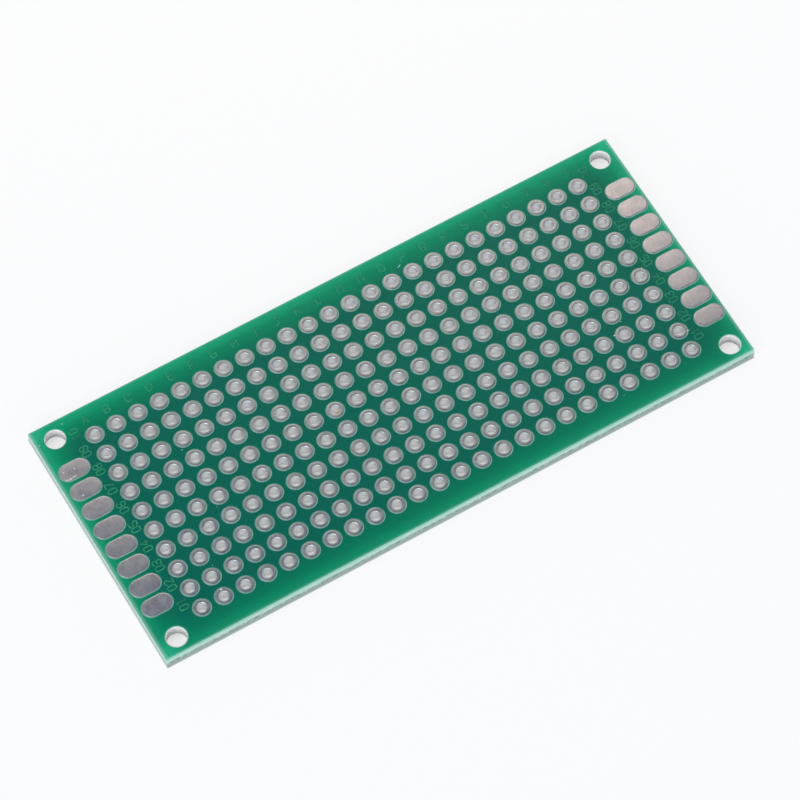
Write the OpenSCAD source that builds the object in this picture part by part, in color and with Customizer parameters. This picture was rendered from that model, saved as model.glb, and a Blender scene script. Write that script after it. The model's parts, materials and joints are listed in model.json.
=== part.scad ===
// Double-sided prototyping board: a glass-fibre laminate drilled on a 2.54 mm grid, each hole
// plated through and tinned, with solid oval pads at both ends and a mounting hole in each corner.
// The origin is at the centre of the outline on the plane that the underside pads rest on.
// X runs along the long side, Y towards the row of column letters, Z up. Millimetres.

/* [Board] */
// Length of the board, between its two sawn ends
board_length = 70; // [69.4:0.1:100]
// Width of the board, across the broken webs of its scored long edges
board_width = 30; // [28:0.1:60]
// Thickness of the bare laminate
laminate_thickness = 1.53; // [0.8:0.01:2.4]

/* [Scored long edges] */
// Depth of the V score, from each face of the laminate
score_depth = 0.55; // [0.2:0.01:0.7]
// Included angle of the scoring cutter, in degrees
score_angle = 34; // [20:1:45]

/* [Hole grid] */
// Distance between neighbouring holes, along X and along Y
pitch = 2.54; // [2.4:0.01:2.56]
// Finished bore of a plated hole
bore_diameter = 1.0; // [0.7:0.01:1.15]
// Thickness of copper and tin on the wall of a drilled hole
plating_thickness = 0.05; // [0.02:0.005:0.1]
// How far the drilled pattern lies right of the outline's centre
registration_x = 0.13; // [-0.2:0.01:0.2]
// How far the drilled pattern lies beyond the outline's centre, towards the letters
registration_y = -0.13; // [-0.2:0.01:0.2]

/* [Pads] */
// Diameter of the round pad at each end of a plated hole
pad_diameter = 1.86; // [1.7:0.01:2.15]
// Thickness of a pad's copper and tin together
pad_height = 0.065; // [0.045:0.001:0.1]
// How far the tin of a round pad falls from its crown, midway along the ring, to its outer edge
crown_fall = 0.03; // [0.01:0.001:0.04]
// Radius of the tin where an oval pad's face turns down to its outer edge
pad_edge_radius = 0.04; // [0.01:0.001:0.044]
// Radius of the tin where a round pad's face turns into the bore
mouth_radius = 0.09; // [0.03:0.005:0.15]

/* [End pads] */
// Length of an oval end pad, along X
end_pad_length = 3.35; // [2.4:0.01:3.6]
// Width of an oval end pad, along Y
end_pad_width = 2.0; // [1.6:0.01:2.15]
// Bare margin between an oval pad's outer end and the end of the board
end_pad_margin = 0.34; // [0.3:0.01:0.4]

/* [Mounting holes] */
// Diameter of a mounting hole, for an M2 screw
mount_hole_diameter = 2.2; // [1.6:0.01:2.4]
// Distance of a mounting hole's axis from the end of the board
mount_inset_x = 2.0; // [1.7:0.01:3]
// Distance of a mounting hole's axis from the long edge
mount_inset_y = 2.0; // [1.9:0.01:2.2]

/* [Solder mask] */
// Thickness of the green solder mask on each face
mask_thickness = 0.03; // [0.015:0.001:0.04]
// Bare laminate left round a pad or a mounting hole, between it and the mask
mask_clearance = 0.055; // [0.02:0.005:0.08]

/* [Hidden] */
// One letter for each column, left to right, and one number for each row, bottom to top
COLUMNS = "abcdefghijklmnopqrstuvwx";
ROWS = [for (k = [1 : 10]) k];
END_PAD_ROWS = [for (k = ROWS) if (k > ROWS[0] && k < len(ROWS)) k];
SIDES = ["left", "right"];
FACES = ["top", "bottom"];

function column_node(letter) = str("hole_plating_column_", letter);
function end_pad_node(side, face, k) = str("end_pad_", side, "_", face, "_", k < 10 ? "0" : "", k);

// Facets of a drilled hole and of a small rounding
$fn = 48;
// How far a cutter runs past the face that it leaves
overrun = 0.5;

// Heights, from the plane that the underside pads rest on
laminate_bottom = max(pad_height, mask_thickness);
laminate_top = laminate_bottom + laminate_thickness;
mid_height = (laminate_bottom + laminate_top) / 2;

bore_radius = bore_diameter / 2;
drill_radius = bore_radius + plating_thickness;
pad_radius = pad_diameter / 2;
end_pad_radius = end_pad_width / 2;
// The tin's crown: where it stands on the ring, and the radius that falls by crown_fall from there
crown_at = (bore_radius + mouth_radius + pad_radius) / 2;
crown_radius = (pow(pad_radius - crown_at, 2) + pow(crown_fall, 2)) / (2 * crown_fall);
score_slope = tan(score_angle / 2);
face_half_width = board_width / 2 - score_depth * score_slope;

// Centre of a hole of the grid, from its column and row, counted from 0
function column_x(i) = registration_x + (i - (len(COLUMNS) - 1) / 2) * pitch;
function row_y(j) = registration_y + (j - (len(ROWS) - 1) / 2) * pitch;
// Distance of an oval pad's centre from the pattern's centre, along X
end_pad_x = board_length / 2 - end_pad_margin - end_pad_length / 2;

// Children at every hole of the grid
module at_grid_holes() {
    for (i = [0 : len(COLUMNS) - 1], j = [0 : len(ROWS) - 1])
        translate([column_x(i), row_y(j)]) children();
}

// Children at the four mounting holes
module at_mounting_holes() {
    for (x = [-1, 1], y = [-1, 1])
        translate([
            registration_x + x * (board_length / 2 - mount_inset_x),
            registration_y + y * (board_width / 2 - mount_inset_y)
        ]) children();
}

// Children at the oval pads of both ends
module at_end_pads() {
    for (x = [-1, 1], k = END_PAD_ROWS)
        translate([registration_x + x * end_pad_x, row_y(k - 1)]) children();
}

// Children as drawn for the top face, turned over to the underside when the face is "bottom"
module on_face(face) {
    if (face == "top") {
        children();
    } else {
        translate([0, 0, 2 * mid_height]) mirror([0, 0, 1]) children();
    }
}

// A section in Y and Z, drawn as X and Y, run along the whole length of the board
module along_board() {
    rotate([90, 0, 90])
        translate([0, 0, -board_length / 2])
            linear_extrude(board_length) children();
}

// Outline of an oval pad, grown by a margin
module oval(margin = 0) {
    straight = end_pad_length - end_pad_width;
    square([straight, end_pad_width + 2 * margin], center = true);
    for (x = [-1, 1]) translate([x * straight / 2, 0]) circle(end_pad_radius + margin);
}

// The board itself: V scored along both long edges, snapped off at the web, sawn square at the
// ends, and drilled
module laminate() {
    color("#c9cfae") difference() {
        along_board() polygon([
            [-face_half_width, laminate_bottom],
            [face_half_width, laminate_bottom],
            [board_width / 2, laminate_bottom + score_depth],
            [board_width / 2, laminate_top - score_depth],
            [face_half_width, laminate_top],
            [-face_half_width, laminate_top],
            [-board_width / 2, laminate_top - score_depth],
            [-board_width / 2, laminate_bottom + score_depth]
        ]);
        translate([0, 0, laminate_bottom - overrun])
            linear_extrude(laminate_thickness + 2 * overrun) {
                at_grid_holes() circle(drill_radius);
                at_mounting_holes() circle(mount_hole_diameter / 2);
            }
    }
}

// The mask on one face: cut back with the score, and open round each pad and mounting hole
module solder_mask(face) {
    outer_half_width = face_half_width - mask_thickness * score_slope;
    color("#0f7f5b") on_face(face) difference() {
        along_board() polygon([
            [-face_half_width, laminate_top],
            [face_half_width, laminate_top],
            [outer_half_width, laminate_top + mask_thickness],
            [-outer_half_width, laminate_top + mask_thickness]
        ]);
        translate([0, 0, laminate_top - overrun])
            linear_extrude(mask_thickness + 2 * overrun) {
                at_grid_holes() circle(pad_radius + mask_clearance);
                at_mounting_holes() circle(mount_hole_diameter / 2 + mask_clearance);
                at_end_pads() oval(mask_clearance);
            }
    }
}

// What a rounding of this radius takes off a square corner that points right and up
module corner_waste(radius) {
    difference() {
        translate([-radius, -radius]) square(radius + overrun);
        translate([-radius, -radius]) circle(radius);
    }
}

// Half of an oval pad's section, from the laminate up and from its middle out to its edge
module end_pad_section() {
    difference() {
        square([end_pad_radius, pad_height]);
        translate([end_pad_radius, pad_height]) corner_waste(pad_edge_radius);
    }
}

// What the rounded fall of the tin takes off a round pad's square section, beyond its crown
module crown_waste() {
    difference() {
        translate([crown_at, -crown_fall]) square([pad_radius - crown_at + overrun, crown_fall + overrun]);
        translate([crown_at, -crown_radius]) circle(crown_radius);
    }
}

// Section of a plated hole, in radius and height above its middle: a barrel between two pads,
// crowned along the ring and flared at both mouths of the bore
module plated_hole_section() {
    half_barrel = laminate_thickness / 2;
    half_height = half_barrel + pad_height;
    difference() {
        polygon([
            [bore_radius, -half_height],
            [pad_radius, -half_height],
            [pad_radius, -half_barrel],
            [drill_radius, -half_barrel],
            [drill_radius, half_barrel],
            [pad_radius, half_barrel],
            [pad_radius, half_height],
            [bore_radius, half_height]
        ]);
        for (turned = [0, 1]) mirror([0, turned]) {
            translate([0, half_height]) crown_waste();
            translate([bore_radius, half_height]) mirror([1, 0]) corner_waste(mouth_radius);
        }
    }
}

// One plated-through hole: a tinned barrel flared into a round pad on each face
module plated_hole() {
    rotate_extrude() plated_hole_section();
}

// The plated holes of one column, numbered from 0
module plated_column(i) {
    color("#b9b6b8") for (j = [0 : len(ROWS) - 1])
        translate([column_x(i), row_y(j), mid_height]) plated_hole();
}

// One oval pad, lying on the top face
module end_pad(side, face, k) {
    x = side == "left" ? -end_pad_x : end_pad_x;
    straight = end_pad_length - end_pad_width;
    color("#b9b6b8") on_face(face)
        translate([registration_x + x, row_y(k - 1), laminate_top]) {
            translate([-straight / 2, 0]) rotate([0, 0, 90])
                rotate_extrude(angle = 180) end_pad_section();
            translate([straight / 2, 0]) rotate([0, 0, -90])
                rotate_extrude(angle = 180) end_pad_section();
            translate([-straight / 2, 0]) rotate([90, 0, 90]) linear_extrude(straight) {
                end_pad_section();
                mirror([1, 0]) end_pad_section();
            }
        }
}

laminate();
solder_mask("top");  // solder_mask_top
solder_mask("bottom");  // solder_mask_bottom
for (i = [0 : len(COLUMNS) - 1])
    plated_column(i);
for (side = SIDES, face = FACES, k = END_PAD_ROWS)
    end_pad(side, face, k);
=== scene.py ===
"""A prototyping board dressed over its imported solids: tinned holes and pads, green mask, bare edges.

Lengths are in metres, as in the frame, and are worked out from it. MM turns millimetres into metres.
"""

import json
import math
import random

import bpy
import numpy as np
from mathutils import Euler, Matrix, Vector


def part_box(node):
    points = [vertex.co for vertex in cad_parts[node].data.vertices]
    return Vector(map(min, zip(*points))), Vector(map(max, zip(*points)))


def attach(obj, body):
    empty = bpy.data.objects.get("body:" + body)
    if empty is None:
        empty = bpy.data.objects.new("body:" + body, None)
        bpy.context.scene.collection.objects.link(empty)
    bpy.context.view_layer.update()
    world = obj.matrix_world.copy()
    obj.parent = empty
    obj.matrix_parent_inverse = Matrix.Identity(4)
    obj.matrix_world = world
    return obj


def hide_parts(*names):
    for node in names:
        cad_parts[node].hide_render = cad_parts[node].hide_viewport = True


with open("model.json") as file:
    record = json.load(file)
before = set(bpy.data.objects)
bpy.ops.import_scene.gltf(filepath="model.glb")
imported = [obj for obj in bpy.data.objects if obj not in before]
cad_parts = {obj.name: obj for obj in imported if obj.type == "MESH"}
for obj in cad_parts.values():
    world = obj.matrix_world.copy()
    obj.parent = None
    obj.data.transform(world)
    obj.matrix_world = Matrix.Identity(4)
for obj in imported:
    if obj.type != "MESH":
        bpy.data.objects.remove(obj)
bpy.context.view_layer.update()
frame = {"nodes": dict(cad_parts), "record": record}

MM = 0.001
BODY = "root"
rng = random.Random(24)

# Sizes read from the frame

COLUMNS = "abcdefghijklmnopqrstuvwx"
FIRST_END_PAD_ROW, LAST_END_PAD_ROW = 2, 9
ROW_COUNT = 10


def column_node(letter):
    return f"hole_plating_column_{letter}"


def end_pad_node(side, face, row):
    return f"end_pad_{side}_{face}_{row:02d}"


laminate_low, laminate_high = (Vector(c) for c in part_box("laminate"))
mask_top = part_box("solder_mask_top")[1][2]
first_low, first_high = (Vector(c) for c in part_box(column_node(COLUMNS[0])))
last_high = Vector(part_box(column_node(COLUMNS[-1]))[1])

board_length = laminate_high.x - laminate_low.x
board_width = laminate_high.y - laminate_low.y
face_half_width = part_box("solder_mask_top")[1][1]
pad_radius = (first_high.x - first_low.x) / 2
pad_height = first_high.z - laminate_high.z
mid_height = (first_high.z + first_low.z) / 2
half_thickness = (laminate_high.z - laminate_low.z) / 2
pitch = (last_high.x - first_high.x) / (len(COLUMNS) - 1)
grid_centre = Vector(((first_low.x + last_high.x) / 2, (first_low.y + first_high.y) / 2, 0))
mounts = {mount["name"]: mount["dims"] for mount in frame["record"]["mounts"]}
bore_radius = mounts["component_hole_a01"]["r_mm"] * MM
mount_hole_radius = mounts["mounting_holes"]["hole_r_mm"] * MM
mount_spacing = [mounts["mounting_holes"][f"spacing_{axis}_mm"] * MM for axis in "xy"]
end_low, end_high = (Vector(c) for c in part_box(end_pad_node("right", "top", FIRST_END_PAD_ROW)))
end_pad_radius = (end_high.y - end_low.y) / 2
end_pad_straight = end_high.x - end_low.x - 2 * end_pad_radius
end_pad_x = (end_low.x + end_high.x) / 2 - grid_centre.x

# Two sizes of the solids that no box or mount of theirs gives
PLATING_THICKNESS = 0.05 * MM
MASK_CLEARANCE = 0.055 * MM     # bare laminate round a pad or a mounting hole


def column_x(i):
    return grid_centre.x + (i - (len(COLUMNS) - 1) / 2) * pitch


def row_y(j):
    return grid_centre.y + (j - (ROW_COUNT - 1) / 2) * pitch


# Camera, solved from the photograph's hole grid

AZIMUTH = math.radians(-29.155)
ELEVATION = math.radians(62.431)
ROLL = math.radians(-1.21)
CAMERA_DISTANCE = 452.87 * MM
LENS, SENSOR = 196.36, 36.0
AIM_FROM_GRID = Vector((0.013 * MM, -1.175 * MM, 0))


def make_camera():
    data = bpy.data.cameras.new("camera")
    data.lens, data.sensor_width = LENS, SENSOR
    data.clip_start, data.clip_end = 0.01, 20
    camera = bpy.data.objects.new("camera", data)
    bpy.context.collection.objects.link(camera)
    aim = grid_centre + AIM_FROM_GRID + Vector((0, 0, first_high.z))
    back = Vector((
        math.sin(AZIMUTH) * math.cos(ELEVATION),
        -math.cos(AZIMUTH) * math.cos(ELEVATION),
        math.sin(ELEVATION),
    ))
    camera.location = aim + back * CAMERA_DISTANCE
    turned = Euler((math.pi / 2 - ELEVATION, 0, AZIMUTH)).to_matrix() @ Euler((0, 0, ROLL)).to_matrix()
    camera.rotation_euler = turned.to_euler()
    bpy.context.scene.camera = camera


make_camera()

# Materials


class Nodes:
    """A material's node tree, with short calls for the nodes that the materials share."""

    def __init__(self, name):
        self.material = bpy.data.materials.new(name)
        self.material.use_nodes = True
        self.tree = self.material.node_tree
        self.shader = self.tree.nodes["Principled BSDF"]
        self.place = self.add("ShaderNodeTexCoord").outputs["Object"]

    def add(self, kind, **settings):
        node = self.tree.nodes.new(kind)
        for key, value in settings.items():
            setattr(node, key, value)
        return node

    def put(self, socket, value):
        """Link an output to the socket, or set the socket's own value."""
        if hasattr(value, "is_output"):
            self.tree.links.new(value, socket)
        else:
            socket.default_value = value

    def set(self, **values):
        """Link or set the shader's inputs, by name with _ for a space."""
        for key, value in values.items():
            self.put(self.shader.inputs[key.replace("_", " ")], value)

    def math(self, operation, a, b=0.0, c=0.0, clamp=False):
        node = self.add("ShaderNodeMath", operation=operation, use_clamp=clamp)
        for socket, value in zip(node.inputs, (a, b, c)):
            self.put(socket, value)
        return node.outputs[0]

    def apart(self, a, b):
        """How far two values lie from each other."""
        return self.math("ABSOLUTE", self.math("SUBTRACT", a, b))

    def past(self, along, half):
        """How far a coordinate lies past half a length, on either side of zero."""
        return self.math("SUBTRACT", self.math("ABSOLUTE", along), half)

    def axes(self):
        """The three coordinates of a point of the board, in metres."""
        split = self.add("ShaderNodeSeparateXYZ")
        self.put(split.inputs[0], self.place)
        return split.outputs

    def stretched(self, scale, turn=0.0):
        """The place, scaled along each axis, so that a texture on it runs finer or longer."""
        node = self.add("ShaderNodeMapping")
        self.put(node.inputs["Vector"], self.place)
        node.inputs["Rotation"].default_value = (0, 0, turn)
        node.inputs["Scale"].default_value = scale
        return node.outputs[0]

    def noise(self, vector, scale, detail, roughness=0.5):
        node = self.add("ShaderNodeTexNoise")
        keys = ("Vector", "Scale", "Detail", "Roughness")
        for key, value in zip(keys, (vector, scale, detail, roughness)):
            self.put(node.inputs[key], value)
        return node.outputs["Fac"]

    def span(self, value, low, high, to_low=0.0, to_high=1.0, smooth=True):
        """The value's way from low to high, taken to the way from to_low to to_high."""
        node = self.add("ShaderNodeMapRange", interpolation_type="SMOOTHSTEP" if smooth else "LINEAR")
        keys = ("Value", "From Min", "From Max", "To Min", "To Max")
        for key, number in zip(keys, (value, low, high, to_low, to_high)):
            self.put(node.inputs[key], number)
        return node.outputs[0]

    def mix(self, share, a, b):
        node = self.add("ShaderNodeMix", data_type="RGBA")
        self.put(node.inputs["Factor"], share)
        for key, value in (("A", a), ("B", b)):
            socket = next(s for s in node.inputs if s.name == key and s.type == "RGBA")
            self.put(socket, value)
        return next(s for s in node.outputs if s.type == "RGBA")

    def bump(self, height, strength, distance, under=None):
        """A normal from a height map, over the normal that an earlier bump gives."""
        node = self.add("ShaderNodeBump")
        self.put(node.inputs["Height"], height)
        if under:
            self.put(node.inputs["Normal"], under)
        node.inputs["Strength"].default_value = strength
        node.inputs["Distance"].default_value = distance
        return node.outputs[0]


def colour(red, green, blue):
    """A colour as seen on the screen, 0 to 255, in the linear values that a shader takes."""
    def linear(v):
        v /= 255
        return v / 12.92 if v <= 0.04045 else ((v + 0.055) / 1.055) ** 2.4
    return (linear(red), linear(green), linear(blue), 1.0)


def edge_glow(nodes, reach, joined="ADD"):
    """1 at the outline of the board, where a glow of light coming in through the laminate is painted on the
    mask, falling to 0 at reach.

    The two edges of a corner add up, or are multiplied to find the corner alone.
    """
    x, y, _ = nodes.axes()
    fades = []
    for along, half in ((x, board_length / 2), (y, board_width / 2)):
        fades.append(nodes.span(nodes.past(along, half), -reach, 0.0))
    return nodes.math(joined, *fades, clamp=True)


def from_grid(nodes, value, first, low, high):
    """Distance from the nearest line of the hole grid, of the lines numbered low to high."""
    count = nodes.math("DIVIDE", nodes.math("SUBTRACT", value, first), pitch)
    line = nodes.math("MINIMUM", nodes.math("MAXIMUM", nodes.math("ROUND", count), low), high)
    return nodes.math("MULTIPLY", nodes.math("SUBTRACT", count, line), pitch)


def from_row(nodes, y, first_row=1, last_row=ROW_COUNT):
    """Distance along Y from the nearest row of holes, of the rows from first_row to last_row."""
    return from_grid(nodes, y, row_y(0), first_row - 1, last_row - 1)


def opening_inset(nodes):
    """Distance on the mask from the nearest opening, 0 at its edge."""
    x, y, _ = nodes.axes()

    def from_pair(value, centre, offset):
        """Distance from the nearer of two lines that stand at an offset on both sides of a centre."""
        return nodes.math("SUBTRACT", nodes.apart(value, centre), offset)

    def beyond(across, along, radius):
        """Distance outside the opening round a pad or hole of this radius."""
        squares = nodes.math("MULTIPLY_ADD", across, across, nodes.math("MULTIPLY", along, along))
        return nodes.math("SUBTRACT", nodes.math("SQRT", squares), radius + MASK_CLEARANCE)

    round_pad = beyond(
        from_grid(nodes, x, column_x(0), 0, len(COLUMNS) - 1), from_row(nodes, y), pad_radius,
    )
    along_oval = nodes.past(from_pair(x, grid_centre.x, end_pad_x), end_pad_straight / 2)
    oval = beyond(
        nodes.math("MAXIMUM", along_oval, 0.0),
        from_row(nodes, y, FIRST_END_PAD_ROW, LAST_END_PAD_ROW),
        end_pad_radius,
    )
    mount = beyond(
        from_pair(x, grid_centre.x, mount_spacing[0] / 2),
        from_pair(y, grid_centre.y, mount_spacing[1] / 2),
        mount_hole_radius,
    )
    return nodes.math("MINIMUM", nodes.math("MINIMUM", round_pad, oval), mount)


# Painted glow: how far in from the outline the mask is painted lighter, as if lit through the laminate: over
# the margin, near the edge, near a corner, and in the strip that is so thin that it looks pale, with painted
# glow on it too
MARGIN_GLOW = 4.6 * MM
EDGE_GLOW = 1.8 * MM
CORNER_GLOW = 4.0 * MM
THIN_GLOW = 0.45 * MM
FAR_STRIP = 0.18 * MM           # a painted pale glow along the right end and the far edge, which turn from the camera
THIN_SHARE = 0.45
# The pale line on the mask round each opening, where the mask thins, with a painted highlight that makes it
# stronger at the front of a hole than at its back, and the step down to the laminate
RIM_WIDTH = 0.1 * MM
RIM_SHARES = (0.8, 0.16)
LIP_WIDTH = 0.13 * MM
LIP_HEIGHT = 0.03 * MM


def mask_material():
    """Green mask: deep over the drilled field, with a painted glow towards the edges; faintly uneven,
    semi-gloss.
    """
    nodes = Nodes("solder_mask_green")
    deep, middle, light = colour(11, 112, 91), colour(2, 159, 109), colour(50, 202, 152)
    x, y, _ = nodes.axes()
    # The painted glow is stronger towards the back of the board
    glow_toward_back = nodes.span(y, -board_width / 2, board_width / 2, 0.6, 1.05, smooth=False)
    margin = nodes.math("MULTIPLY", edge_glow(nodes, MARGIN_GLOW), glow_toward_back, clamp=True)
    edge = nodes.math("MULTIPLY", edge_glow(nodes, EDGE_GLOW), glow_toward_back)
    corner = edge_glow(nodes, CORNER_GLOW, "MULTIPLY")
    lit = nodes.math("MAXIMUM", nodes.math("MULTIPLY", edge, 0.5), corner)
    mottle = nodes.noise(nodes.place, 900, 4)
    # Painted glow: lighter green over the margin, near the edges and at the corners
    body = nodes.mix(margin, deep, middle)
    body = nodes.mix(nodes.math("MULTIPLY", lit, 0.9), body, light)
    body = nodes.mix(nodes.span(mottle, 0.3, 0.7, 0.0, 0.12), body, colour(3, 92, 76))
    inset = opening_inset(nodes)
    # Painted highlight: the rim is paler at the front of each opening than at its back
    rim_share_with_highlight = nodes.span(from_row(nodes, y), -pad_radius, pad_radius, *RIM_SHARES)
    rim = nodes.math("MULTIPLY", nodes.span(inset, 0.0, RIM_WIDTH, 1.0, 0.0), rim_share_with_highlight)
    # Pale where the mask is thin, with a painted glow along the outline and the far edges
    thin_and_painted_glow = nodes.math("MAXIMUM", rim, nodes.math("MULTIPLY", edge_glow(nodes, THIN_GLOW), THIN_SHARE))
    for along, half in ((x, board_length / 2), (y, face_half_width)):
        thin_and_painted_glow = nodes.math("MAXIMUM", thin_and_painted_glow, nodes.span(along, half - FAR_STRIP, half, 0.0, THIN_SHARE))
    body = nodes.mix(thin_and_painted_glow, body, colour(178, 228, 212))
    weave = nodes.noise(nodes.place, 260, 2)
    ripple = nodes.noise(nodes.place, 3500, 2)
    height = nodes.math("ADD", weave, nodes.math("MULTIPLY", ripple, 0.15))
    lip = nodes.bump(nodes.span(inset, 0.0, LIP_WIDTH), 1.0, LIP_HEIGHT)
    nodes.set(
        Base_Color=body,
        Roughness=nodes.span(mottle, 0.3, 0.7, 0.22, 0.32),
        IOR=1.2,
        Normal=nodes.bump(height, 0.1, 0.02 * MM, under=lip),
    )
    return nodes.material


def raised_mask_material():
    """The mask where it rises over the copper of an index mark: thinner there, so it looks paler."""
    nodes = Nodes("solder_mask_over_copper")
    worn = nodes.noise(nodes.place, 2500, 3)
    body = nodes.mix(nodes.span(worn, 0.3, 0.7), colour(32, 144, 104), colour(54, 164, 120))
    x = nodes.axes()[0]
    body = nodes.mix(nodes.span(x, 0, board_length / 2, 0.0, 0.35), body, colour(20, 118, 92))
    nodes.set(Base_Color=body, Roughness=0.35, IOR=1.38)
    return nodes.material


# On the broken edge: half the height of the rough web, and over which height and depth it sets in
WEB_HALF_HEIGHT = 0.18 * MM
WEB_FADE = 0.14 * MM
WEB_DEPTH = 0.05 * MM
DRILLED_DEPTH = 0.03 * MM       # how far into the laminate a mounting hole's wall has its own colour


def laminate_material():
    """Glass-fibre laminate: pale, with the plies' strands showing on the cut faces."""
    nodes = Nodes("glass_fibre_laminate")
    x, y, z = nodes.axes()
    plies = nodes.noise(nodes.stretched((0.12, 0.12, 1.0)), 9000, 4, 0.6)
    cloudy = nodes.noise(nodes.place, 1400, 4, 0.6)
    strands, clouds = nodes.span(plies, 0.35, 0.65), nodes.span(cloudy, 0.35, 0.62)
    out = nodes.math("ABSOLUTE", y)
    body = nodes.mix(strands, colour(196, 230, 214), colour(222, 246, 232))
    near_mask = nodes.span(z, mid_height + 0.3 * half_thickness, mid_height + half_thickness, 0.0, 0.7)
    body = nodes.mix(near_mask, body, colour(126, 208, 178))

    # Painted shade: the lower half is darker, most of all on the slope of the score
    scored = nodes.span(out, face_half_width, board_width / 2, 0.28, 1.0)
    low = nodes.span(z, mid_height - 0.4 * half_thickness, mid_height, 1.0, 0.0)
    low_shade = nodes.mix(clouds, colour(98, 124, 118), colour(134, 160, 152))
    body = nodes.mix(nodes.math("MULTIPLY", low, scored), body, low_shade)

    from_mount = []
    for along, centre, spacing in zip((x, y), grid_centre, mount_spacing):
        away = nodes.math("SUBTRACT", nodes.apart(along, centre), spacing / 2)
        from_mount.append(nodes.math("MULTIPLY", away, away))
    reach = mount_hole_radius + DRILLED_DEPTH
    in_mount = nodes.math("LESS_THAN", nodes.math("ADD", *from_mount), reach ** 2)
    drilled = nodes.mix(strands, colour(250, 248, 245), colour(255, 254, 252))
    body = nodes.mix(in_mount, body, drilled)

    from_middle = nodes.apart(z, mid_height)
    web = nodes.span(from_middle, WEB_HALF_HEIGHT, WEB_HALF_HEIGHT + WEB_FADE, 1.0, 0.0)
    broken = nodes.math("MULTIPLY", web, nodes.span(out, board_width / 2 - WEB_DEPTH, board_width / 2))
    rough = nodes.mix(clouds, colour(134, 164, 156), colour(190, 212, 204))
    nodes.set(
        Base_Color=nodes.mix(broken, body, rough),
        Roughness=nodes.span(plies, 0.3, 0.7, 0.45, 0.75),
        Subsurface_Weight=0.25,
        Normal=nodes.bump(nodes.math("ADD", plies, cloudy), 0.5, 0.02 * MM),
    )
    nodes.shader.inputs["Subsurface Radius"].default_value = (1.0, 1.0, 0.8)
    nodes.shader.inputs["Subsurface Scale"].default_value = 0.6 * MM
    return nodes.material


def tin_material(name, base, dark, rough_low, rough_high, streaks=False):
    """Solder-levelled tin: grey, uneven in gloss, with small dimples, and levelling streaks on flat pads."""
    nodes = Nodes(name)
    cloudy = nodes.noise(nodes.place, 1100, 4, 0.6)
    grain = nodes.noise(nodes.place, 9000, 3, 0.6)
    cloud_height = 0.06 if streaks else 0.15
    height = nodes.math("MULTIPLY_ADD", cloudy, cloud_height, nodes.math("MULTIPLY", grain, 0.25))
    shade = nodes.span(cloudy, 0.35, 0.7)
    if streaks:
        drawn = nodes.noise(nodes.stretched((1.0, 0.3, 1.0), math.radians(-8)), 6500, 4, 0.7)
        height = nodes.math("ADD", height, nodes.math("MULTIPLY", drawn, 0.5))
        shade = nodes.math("MULTIPLY_ADD", shade, 0.2, nodes.span(drawn, 0.3, 0.75, 0.0, 0.8))
    nodes.set(
        Base_Color=nodes.mix(shade, dark, base),
        Metallic=1.0,
        Roughness=nodes.span(cloudy, 0.3, 0.7, rough_low, rough_high),
        Normal=nodes.bump(height, 0.25, 0.02 * MM),
    )
    return nodes.material


mask_green = mask_material()
mask_over_copper = raised_mask_material()
glass_fibre = laminate_material()
tin_ring = tin_material("tin_on_plated_hole", colour(182, 189, 190), colour(166, 173, 175), 0.3, 0.4)
# The same tin, painted brighter in the bores to stand in for light bounced down the barrel
tin_bore = tin_material("tin_in_bore", colour(226, 228, 230), colour(215, 217, 220), 0.28, 0.38)
tin_pad = tin_material(
    "tin_on_end_pad", colour(203, 204, 208), colour(180, 181, 186), 0.27, 0.36, streaks=True,
)


def dress(node, material):
    """Give a carried-over solid its material."""
    mesh = frame["nodes"][node].data
    mesh.materials.clear()
    mesh.materials.append(material)


dress("laminate", glass_fibre)
dress("solder_mask_top", mask_green)
dress("solder_mask_bottom", mask_green)

# Pieces


def add_piece(name, mesh, material, replaced=()):
    """Link a finished mesh as a piece of the board."""
    mesh.materials.append(material)
    mesh.validate()
    piece = bpy.data.objects.new(name, mesh)
    bpy.context.collection.objects.link(piece)
    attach(piece, BODY)
    if replaced:
        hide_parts(*replaced)


def mesh_of(name, points, faces, smooth=True):
    """A mesh from its points and faces."""
    mesh = bpy.data.meshes.new(name)
    mesh.from_pydata([tuple(p) for p in points], [], faces)
    mesh.polygons.foreach_set("use_smooth", [smooth] * len(mesh.polygons))
    mesh.update()
    return mesh


# Plated holes: each a lathed barrel whose tin swells into a low crown on each pad

LATHE_STEPS = 40
MOUTH_STEPS, EDGE_STEPS = 5, 3
MOUTH_ROUND = 0.09 * MM
EDGE_ROUND = 0.035 * MM
CROWN_FALL = 0.026 * MM       # the crown's height above the pad's outer shoulder
MOUTH_FALL = 0.006 * MM       # and above the edge of the mouth
CROWN_AT = 0.56               # where the crown stands, from the mouth to the shoulder
CROWN_POINTS = (0.25, CROWN_AT, 0.8)
SAG_AWAY = math.radians(45)   # the tin has sagged away from here, and falls less on this side
SAG = 0.65
MOST_LEAN = 0.03 * MM         # how far a mouth may lie off the hole's centre
MOST_SINK = 0.35              # in halves of CROWN_FALL: how low a crown may lie, and how much it tilts
MOUTH_FACES = 3               # of the mouth's faces, how many look like the bore

top_height = half_thickness + pad_height
mouth_r, shoulder_r = bore_radius + MOUTH_ROUND, pad_radius - EDGE_ROUND
crown_r = mouth_r + (shoulder_r - mouth_r) * CROWN_AT


def arc(centre_r, centre_z, radius, start, end, steps):
    """Points along a round stretch of the section, both ends included."""
    angles = np.radians(np.linspace(start, end, steps))
    return [(centre_r + radius * math.cos(a), centre_z + radius * math.sin(a)) for a in angles]


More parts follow.
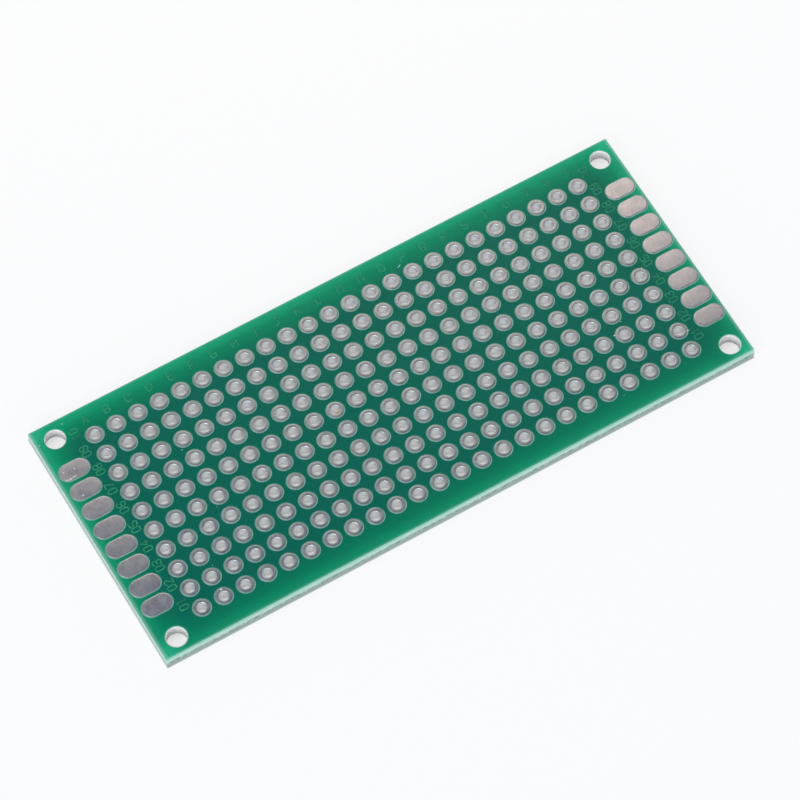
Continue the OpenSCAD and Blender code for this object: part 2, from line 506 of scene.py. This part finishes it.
def upper_half_section():
    """Section of a plated hole above its middle, from the bore round over the pad to the barrel's outside."""
    points = arc(mouth_r, top_height - MOUTH_FALL - MOUTH_ROUND, MOUTH_ROUND, 180, 90, MOUTH_STEPS)
    for share in CROWN_POINTS:
        away = (share - CROWN_AT) / (CROWN_AT if share < CROWN_AT else 1 - CROWN_AT)
        fall = MOUTH_FALL if share < CROWN_AT else CROWN_FALL
        points.append((mouth_r + (shoulder_r - mouth_r) * share, top_height - fall * away * away))
    points += arc(shoulder_r, top_height - CROWN_FALL - EDGE_ROUND, EDGE_ROUND, 90, 0, EDGE_STEPS)
    points += [(pad_radius, half_thickness), (bore_radius + PLATING_THICKNESS, half_thickness)]
    return points


upper_half = upper_half_section()
hole_section = upper_half + [(r, -z) for r, z in reversed(upper_half)]


def plated_hole(centre):
    """Vertices and faces of one plated hole, its two mouths slightly off centre and its crowns uneven."""
    lean = [rng.uniform(0.0, MOST_LEAN) for _ in range(2)]
    toward = [rng.uniform(0, math.tau) for _ in range(2)]
    sink = [rng.uniform(-MOST_SINK, 0.0) for _ in range(2)]
    points, faces = [], []
    for step in range(LATHE_STEPS):
        angle = math.tau * step / LATHE_STEPS
        for r, z in hole_section:
            face = 0 if z > 0 else 1
            side = math.cos(angle - toward[face])
            on_pad = abs(z) > half_thickness + 0.2 * pad_height
            shift = drop = 0.0
            if on_pad and r < 0.9 * pad_radius:
                shift = lean[face] * side * (1 - r / pad_radius)
                drop = CROWN_FALL * (sink[face] + MOST_SINK * (side - 1)) / 2
            fall = top_height - abs(z)
            if on_pad and r > crown_r:
                fall *= 1 - SAG * max(0.0, math.cos(angle - SAG_AWAY))
            height = top_height - fall + drop
            points.append(centre + Vector((
                (r + shift) * math.cos(angle), (r + shift) * math.sin(angle), math.copysign(height, z),
            )))
    ring = len(hole_section)
    for step in range(LATHE_STEPS):
        here, there = step * ring, (step + 1) % LATHE_STEPS * ring
        for k in range(ring):
            k_next = (k + 1) % ring
            faces.append((here + k, there + k, there + k_next, here + k_next))
    return points, faces


def plated_columns():
    """One piece for each column of plated holes, with a brighter tin in the bores as painted light bounced
    down the barrel.
    """
    ring = len(hole_section)
    in_bore = {ring - 1} | {k for face in range(MOUTH_FACES) for k in (face, ring - 2 - face)}
    for i, letter in enumerate(COLUMNS):
        points, faces = [], []
        for j in range(ROW_COUNT):
            new_points, new_faces = plated_hole(Vector((column_x(i), row_y(j), mid_height)))
            faces += [tuple(len(points) + v for v in f) for f in new_faces]
            points += new_points
        name = f"tinned_holes_{letter}"
        mesh = mesh_of(name, points, faces)
        add_piece(name, mesh, tin_ring, (column_node(letter),))
        mesh.materials.append(tin_bore)
        mesh.polygons.foreach_set("material_index", [int(k % ring in in_bore) for k in range(len(faces))])


plated_columns()

# Oval end pads: a flat field with a rounded rim

OVAL_STEPS = 32
# The rim from the laminate up: how far in from the outline, in mm, and which share of the pad's height
RIM = ((0.0, 0.0), (0.0, 0.5), (0.012, 0.8), (0.045, 0.95), (0.12, 1.0))


def oval_pad(side, face, row):
    """One oval pad as rings that step in from its outline to its flat field."""
    node = end_pad_node(side, face, row)
    low, high = (Vector(c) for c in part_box(node))
    centre = (low + high) / 2
    half_length, radius = (high.x - low.x) / 2, (high.y - low.y) / 2
    up = 1 if face == "top" else -1
    seat = low.z if up > 0 else high.z
    points, faces = [], []
    for inset, share in RIM:
        reach = radius - inset * MM
        for step in range(OVAL_STEPS):
            angle = math.tau * (step + 0.5) / OVAL_STEPS
            end = math.copysign(half_length - radius, math.cos(angle))
            points.append((
                centre.x + end + reach * math.cos(angle),
                centre.y + reach * math.sin(angle),
                seat + up * (high.z - low.z) * share,
            ))
    for ring in range(len(RIM) - 1):
        for step in range(OVAL_STEPS):
            after = (step + 1) % OVAL_STEPS
            a, b = ring * OVAL_STEPS + step, ring * OVAL_STEPS + after
            faces.append((a, b, b + OVAL_STEPS, a + OVAL_STEPS))
    faces.append(tuple(range(OVAL_STEPS))[::-1])
    faces.append(tuple((len(RIM) - 1) * OVAL_STEPS + s for s in range(OVAL_STEPS)))
    if up < 0:
        faces = [f[::-1] for f in faces]
    name = f"tinned_pad_{side}_{face}_{row:02d}"
    add_piece(name, mesh_of(name, points, faces), tin_pad, (node,))


def end_pads():
    for side in ("left", "right"):
        for face in ("top", "bottom"):
            for row in range(FIRST_END_PAD_ROW, LAST_END_PAD_ROW + 1):
                oval_pad(side, face, row)


end_pads()

# Index marks: generic single-stroke letters and numbers that stand slightly proud under the mask

MARK_HEIGHT = 0.016 * MM
MARK_SINK = 0.002 * MM        # how far a mark's edges reach into the mask
STROKE_WIDTH = 0.14 * MM
# The stroke's section: its place across the half width, and the share of the height there
STROKE_SECTION = ((-1.0, 0.0), (-0.6, 0.75), (0.0, 1.0), (0.6, 0.75), (1.0, 0.0))
LEAST_MITRE_COSINE = 0.6      # a sharper corner of a stroke is cut off
LETTER_SIZE = (0.62 * MM, 0.9 * MM)
LETTER_FROM_HOLE = Vector((-0.1 * MM, 2.02 * MM))
DIGIT_SIZE = (0.5 * MM, 0.92 * MM)
DIGIT_STEP = 0.72 * MM
NUMBER_INSET = 1.53 * MM      # from the last column's hole out to the row numbers
NUMBER_RISE = 0.5             # of a pitch, above the row that it numbers
LAST_NUMBER_RISE = 0.42
LAST_LEFT_SHIFT = 0.25 * MM   # how much further out the last two numbers on the left stand

# Each glyph is a few strokes on a grid 4 wide and 6 tall
GLYPH_GRID = (4, 6)
GLYPHS = {
    "A": ["00 26 40", "12 32"],
    "B": ["00 06 36 45 44 33 03", "33 42 41 30 00"],
    "C": ["41 30 10 01 05 16 36 45"],
    "D": ["00 06 26 44 42 20 00"],
    "E": ["40 00 06 46", "03 33"],
    "F": ["00 06 46", "03 33"],
    "G": ["45 36 16 05 01 10 30 41 43 23"],
    "H": ["00 06", "40 46", "03 43"],
    "I": ["10 30", "20 26", "16 36"],
    "J": ["01 10 20 31 36", "26 46"],
    "K": ["00 06", "02 46", "13 40"],
    "L": ["06 00 40"],
    "M": ["00 06 23 46 40"],
    "N": ["00 06 40 46"],
    "O": ["10 01 05 16 36 45 41 30 10"],
    "P": ["00 06 36 45 44 33 03"],
    "Q": ["10 01 05 16 36 45 41 30 10", "22 40"],
    "R": ["00 06 36 45 44 33 03", "13 40"],
    "S": ["01 10 30 41 42 33 13 04 05 16 36 45"],
    "T": ["20 26", "06 46"],
    "U": ["06 01 10 30 41 46"],
    "V": ["06 20 46"],
    "W": ["06 10 23 30 46"],
    "X": ["00 46", "06 40"],
    "0": ["10 01 05 16 36 45 41 30 10"],
    "1": ["20 26 15"],
    "2": ["05 16 36 45 44 00 40"],
    "3": ["05 16 36 45 44 33 13", "33 42 41 30 10 01"],
    "4": ["30 36 02 42"],
    "5": ["46 06 03 33 42 41 30 10 01"],
    "6": ["45 36 16 05 01 10 30 41 42 33 03"],
    "7": ["06 46 45 10"],
    "8": ["13 04 05 16 36 45 44 33 13 02 01 10 30 41 42 33"],
    "9": ["01 10 30 41 45 36 16 05 04 13 43"],
}


def stroke_ribbon(path, points, faces):
    """Add a low, round-topped ribbon along a path of points on the mask."""
    half = STROKE_WIDTH / 2
    start = len(points)
    count = len(path)
    for k, here in enumerate(path):
        ways = []
        if k > 0:
            ways.append((here - path[k - 1]).normalized())
        if k < count - 1:
            ways.append((path[k + 1] - here).normalized())
        along = sum(ways, Vector((0, 0))).normalized()
        widen, cap = 1.0, 0.0
        if len(ways) == 2:
            widen = 1 / max(LEAST_MITRE_COSINE, along.dot(ways[0]))
        else:
            cap = half * (-1 if k == 0 else 1)
        across = Vector((-along.y, along.x)) * widen
        for share, rise in STROKE_SECTION:
            spot = here + across * (half * share) + along * (cap * (1 - 0.5 * share * share))
            height = MARK_HEIGHT * rise if rise > 0 else -MARK_SINK
            points.append((spot.x, spot.y, mask_top + height))
    width = len(STROKE_SECTION)
    for k in range(count - 1):
        a, b = start + k * width, start + (k + 1) * width
        for s in range(width - 1):
            faces.append((a + s, b + s, b + s + 1, a + s + 1))
        faces.append((a + width - 1, b + width - 1, b, a))
    faces.append(tuple(start + s for s in range(width)))
    faces.append(tuple(start + (count - 1) * width + s for s in reversed(range(width))))


def write_mark(text, centre, size, step, turned, points, faces):
    """Add a short text of single-stroke glyphs, centred on a point and lying on the mask."""
    width, height = size
    cell_x, cell_y = width / GLYPH_GRID[0], height / GLYPH_GRID[1]
    origin = Vector((-(width + step * (len(text) - 1)) / 2, -height / 2))
    for place, glyph in enumerate(text):
        for stroke in GLYPHS[glyph]:
            path = []
            for pair in stroke.split():
                spot = origin + Vector((step * place + cell_x * int(pair[0]), cell_y * int(pair[1])))
                if turned:
                    spot = Vector((-spot.y, spot.x))
                path.append(centre + spot)
            stroke_ribbon(path, points, faces)


def index_marks():
    """Column letters along the far margin, and row numbers, turned a quarter, at both ends of the grid."""
    letters = ([], [])
    for i, letter in enumerate(COLUMNS.upper()):
        spot = Vector((column_x(i), row_y(ROW_COUNT - 1))) + LETTER_FROM_HOLE
        write_mark(letter, spot, LETTER_SIZE, 0.0, False, *letters)
    add_piece("column_letters", mesh_of("column_letters", *letters), mask_over_copper)
    for side, way in (("left", -1), ("right", 1)):
        numbers = ([], [])
        for j in range(ROW_COUNT):
            x = grid_centre.x + way * ((len(COLUMNS) - 1) / 2 * pitch + NUMBER_INSET)
            if side == "left" and j >= ROW_COUNT - 2:
                x -= LAST_LEFT_SHIFT
            rise = (NUMBER_RISE if j < ROW_COUNT - 1 else LAST_NUMBER_RISE) * pitch
            spot = Vector((x, row_y(j) + rise))
            write_mark(f"{j + 1:02d}", spot, DIGIT_SIZE, DIGIT_STEP, True, *numbers)
        name = f"row_numbers_{side}"
        add_piece(name, mesh_of(name, *numbers), mask_over_copper)


index_marks()

# Small flaws that this board shows: solder left on pads, short spikes of tin, specks on the mask

BLOB_STEPS = 12
# A blob's rings from its foot up: the share of its half width, and of its height
BLOB_RINGS = ((1.0, -0.1), (0.92, 0.45), (0.6, 0.85))


def blob_material(name, tint, roughness, metallic):
    nodes = Nodes(name)
    uneven = nodes.span(nodes.noise(nodes.place, 6000, 2), 0.3, 0.7)
    nodes.set(
        Base_Color=nodes.mix(uneven, colour(*tint), colour(*[v + 14 for v in tint])),
        Metallic=metallic,
        Roughness=roughness,
    )
    return nodes.material


def blob(points, faces, place, base, size, turn):
    """Add a low dome on a plane: its place from the grid's centre, its length, width and height, in mm."""
    length, width, height = size
    turned = Matrix.Rotation(math.radians(turn), 2)
    start = len(points)

    def add_point(along, across, rise):
        spot = grid_centre.xy + (Vector(place) + turned @ Vector((along, across))) * MM
        points.append((spot.x, spot.y, base + rise * height * MM))

    for reach, rise in BLOB_RINGS:
        for k in range(BLOB_STEPS):
            angle = math.tau * k / BLOB_STEPS
            add_point(math.cos(angle) * reach * length / 2, math.sin(angle) * reach * width / 2, rise)
    add_point(0, 0, 1)
    for ring in range(len(BLOB_RINGS) - 1):
        for k in range(BLOB_STEPS):
            a = start + ring * BLOB_STEPS + k
            b = start + ring * BLOB_STEPS + (k + 1) % BLOB_STEPS
            faces.append((a, b, b + BLOB_STEPS, a + BLOB_STEPS))
    peak = len(points) - 1
    last = peak - BLOB_STEPS
    faces += [(last + k, last + (k + 1) % BLOB_STEPS, peak) for k in range(BLOB_STEPS)]
    faces.append(tuple(start + k for k in reversed(range(BLOB_STEPS))))


# Each piece: its slot, its material, the plane that its blobs stand on, and the blobs, with the place,
# the length, width and height, and the turn in degrees of each
TOP = first_high.z
FLAWS = (
    ("solder_left_on_pads", "tinned_pad", ("solder_spots", (232, 230, 224), 0.34, 1.0), TOP, (
        ((-34.2, 8.13), (0.36, 0.2, 0.035), -20), ((-33.78, 8.08), (0.44, 0.22, 0.04), 6),
        ((-33.3, 8.16), (0.5, 0.16, 0.035), 10), ((-34.1, 9.12), (0.26, 0.18, 0.025), 30),
        ((-32.89, 8.99), (0.16, 0.12, 0.025), 0), ((-33.58, 5.82), (0.3, 0.16, 0.03), -10),
    )),
    ("tin_spikes", "tinned_barrel", ("tin_spikes", (236, 234, 230), 0.22, 1.0), TOP - 0.03 * MM, (
        ((-26.53, -10.68), (0.32, 0.11, 0.04), -50), ((29.82, -0.6), (0.3, 0.1, 0.025), 55),
        ((30.1, -9.38), (0.34, 0.1, 0.025), -20), ((23.2, -6.0), (0.34, 0.13, 0.025), 160),
    )),
    ("specks_on_mask", "mask", ("specks", (150, 208, 186), 0.5, 0.0), mask_top, (
        ((-22.28, 5.26), (0.26, 0.08, 0.02), 35), ((-31.54, 14.21), (0.22, 0.12, 0.02), 20),
        ((-34.73, 13.16), (0.2, 0.12, 0.02), 0), ((-22.35, -2.29), (0.1, 0.1, 0.02), 0),
        ((-25.95, -7.83), (0.1, 0.08, 0.02), 0), ((24.6, -4.88), (0.12, 0.12, 0.025), 0),
        ((26.89, -14.71), (0.1, 0.1, 0.02), 0), ((20.34, -12.48), (0.1, 0.1, 0.02), 0),
        ((7.95, 12.65), (0.55, 0.1, 0.012), 25),
    )),
    ("lump_in_hole", "tinned_barrel", ("flux_residue", (214, 196, 150), 0.3, 0.0), TOP - 0.3 * MM, (
        ((-6.22, 1.0), (0.34, 0.28, 0.22), 0), ((-6.42, 0.98), (0.24, 0.2, 0.14), 0),
    )),
)


def small_flaws():
    for name, slot, finish, base, blobs in FLAWS:
        points, faces = [], []
        for place, size, turn in blobs:
            blob(points, faces, place, base, size, turn)
        add_piece(name, mesh_of(name, points, faces), blob_material(*finish))


small_flaws()

# Stage: a white floor that keeps the board's shadow, with more shadow painted under and round the board, and
# a soft sky

FLOOR_SIZE = 3.0
FLOOR_GAP = 0.02 * MM         # keeps the floor off the pads that rest on it
FLOOR_SHADE = 0.2
BACKGROUND_LIFT = 0.82        # lifts the floor to white for the camera and for reflections
# Painted shadow: how much less of the lift there is under the board: at the front and back of a plated hole,
# at the front and back of a mounting hole, and in the shadow where the board's edges meet the floor
HOLE_SHADES = (0.0, 0.4)
MOUNT_SHADES = (0.1, 0.38)
CONTACT_SHADE = 0.64
# The contact shadow's tint: a painted green reflection of the board
CONTACT_TINT = (0.72, 1.0, 0.92, 1)
# Past the board's outline: where that shadow begins, is full, starts to fade and ends
CONTACT_REACH = (-0.6 * MM, -0.4 * MM, -0.03 * MM, 0.14 * MM)
SKY_LOW, SKY_HIGH = (1.27, 1.42, 1.56, 1), (0.135, 0.175, 0.235, 1)
SKY_RISE = (0.1, 0.5)         # upward parts of a direction, from all low sky to all high sky


def floor_shades(nodes):
    """Painted shadow: how much less lift a point of the floor gets, and the share of that from the board's
    contact.
    """
    x, y, _ = nodes.axes()
    over_field = [
        nodes.math("LESS_THAN", nodes.math("ABSOLUTE", along), last + pad_radius)
        for along, last in ((x, column_x(len(COLUMNS) - 1)), (y, row_y(ROW_COUNT - 1)))
    ]
    under_field = nodes.math("MULTIPLY", *over_field)
    hole = nodes.span(from_row(nodes, y), -0.5 * bore_radius, 0.9 * bore_radius, *HOLE_SHADES)
    hole = nodes.math("MULTIPLY", under_field, hole)

    outside = nodes.math("MAXIMUM", nodes.past(x, board_length / 2), nodes.past(y, board_width / 2))
    from_mount = nodes.math("MULTIPLY_ADD", nodes.math("SIGN", y), -mount_spacing[1] / 2, y)
    mount = nodes.span(from_mount, -0.3 * mount_hole_radius, 1.7 * mount_hole_radius, *MOUNT_SHADES)
    under_board = nodes.math("LESS_THAN", outside, 0.0)
    under_ends = nodes.math("MULTIPLY", under_board, nodes.math("SUBTRACT", 1.0, under_field))
    mount = nodes.math("MULTIPLY", under_ends, mount)

    contact = nodes.math(
        "MULTIPLY",
        nodes.span(outside, CONTACT_REACH[0], CONTACT_REACH[1], 0.0, CONTACT_SHADE),
        nodes.span(outside, CONTACT_REACH[2], CONTACT_REACH[3], 1.0, 0.0),
    )
    return nodes.math("ADD", hole, nodes.math("MAXIMUM", mount, contact)), contact


def make_floor():
    half = FLOOR_SIZE / 2
    corners = [(x * half, y * half, -FLOOR_GAP) for x, y in ((-1, -1), (1, -1), (1, 1), (-1, 1))]
    floor_mesh = mesh_of("floor", corners, [(0, 1, 2, 3)], smooth=False)
    floor = bpy.data.objects.new("floor", floor_mesh)
    bpy.context.collection.objects.link(floor)
    nodes = Nodes("white_floor")
    nodes.set(Base_Color=(FLOOR_SHADE, FLOOR_SHADE, FLOOR_SHADE, 1), Roughness=0.9, Specular_IOR_Level=0.0)
    shaded, contact = floor_shades(nodes)
    lit = nodes.math("SUBTRACT", 1.0, shaded, clamp=True)
    rays = nodes.add("ShaderNodeLightPath").outputs
    seen = nodes.math("ADD", rays["Is Camera Ray"], rays["Is Glossy Ray"], clamp=True)
    seen = nodes.math("ADD", seen, rays["Is Transmission Ray"], clamp=True)
    seen = nodes.math("MULTIPLY", seen, lit)
    nodes.set(
        Emission_Color=nodes.mix(contact, (1, 1, 1, 1), CONTACT_TINT),
        Emission_Strength=nodes.math("MULTIPLY", seen, BACKGROUND_LIFT),
    )
    floor_mesh.materials.append(nodes.material)


def make_sky():
    """A soft white tent: bright low down all round, cool grey overhead."""
    world = bpy.data.worlds.new("tent")
    bpy.context.scene.world = world
    world.use_nodes = True
    tree = world.node_tree
    direction = tree.nodes.new("ShaderNodeTexCoord").outputs["Generated"]
    parts = tree.nodes.new("ShaderNodeSeparateXYZ")
    tree.links.new(direction, parts.inputs[0])
    height = tree.nodes.new("ShaderNodeMapRange")
    height.interpolation_type = "SMOOTHSTEP"
    for key, value in zip(("From Min", "From Max"), SKY_RISE):
        height.inputs[key].default_value = value
    tree.links.new(parts.outputs[2], height.inputs["Value"])
    tinted = tree.nodes.new("ShaderNodeMix")
    tinted.data_type = "RGBA"
    low_down, overhead = [s for s in tinted.inputs if s.type == "RGBA"]
    low_down.default_value, overhead.default_value = SKY_LOW, SKY_HIGH
    tree.links.new(height.outputs[0], tinted.inputs["Factor"])
    seen = next(s for s in tinted.outputs if s.type == "RGBA")
    tree.links.new(seen, tree.nodes["Background"].inputs["Color"])


make_floor()
make_sky()

# Lamps, all aimed at the board

# Each: its place, its size and its power
LAMPS = {
    "key_back": ((0.3, 0.88, 0.28), 0.8, 1.2),
    "fill_left_front": ((-0.75, -0.45, 0.42), 1.1, 6.9),
    "side_front": ((0.1, -0.78, 0.45), 0.9, 1.7),
    "soft_overhead": ((-0.34, 0.29, 0.86), 0.5, 0.55),
}
# A small warm panel close over the back of the board: its front edge is mirrored in the tin, so that
# the tin grows brighter to the right and to the back
PANEL_PLACE = (0.047, 0.127, 0.15)
PANEL_SIZE = (0.16, 0.1)
PANEL_TURN = math.radians(-28.4)
PANEL_POWER = 0.075
PANEL_TINT = (1.0, 0.8, 0.63)


def lamp(name, place, size, power):
    """A square soft light at a place, turned towards the board."""
    data = bpy.data.lights.new(name, "AREA")
    data.shape, data.size, data.energy = "SQUARE", size, power
    light = bpy.data.objects.new(name, data)
    bpy.context.collection.objects.link(light)
    light.location = place
    light.rotation_euler = (-Vector(place)).to_track_quat("-Z", "Y").to_euler()
    return light


def near_panel():
    """The near panel, level and turned about the vertical."""
    light = lamp("near_panel", PANEL_PLACE, PANEL_SIZE[0], PANEL_POWER)
    light.data.shape, light.data.size_y, light.data.color = "RECTANGLE", PANEL_SIZE[1], PANEL_TINT
    light.rotation_euler = (0, 0, PANEL_TURN)


for lamp_name, (place, size, power) in LAMPS.items():
    lamp(lamp_name, place, size, power)
near_panel()

bpy.context.scene.view_settings.view_transform = "Standard"
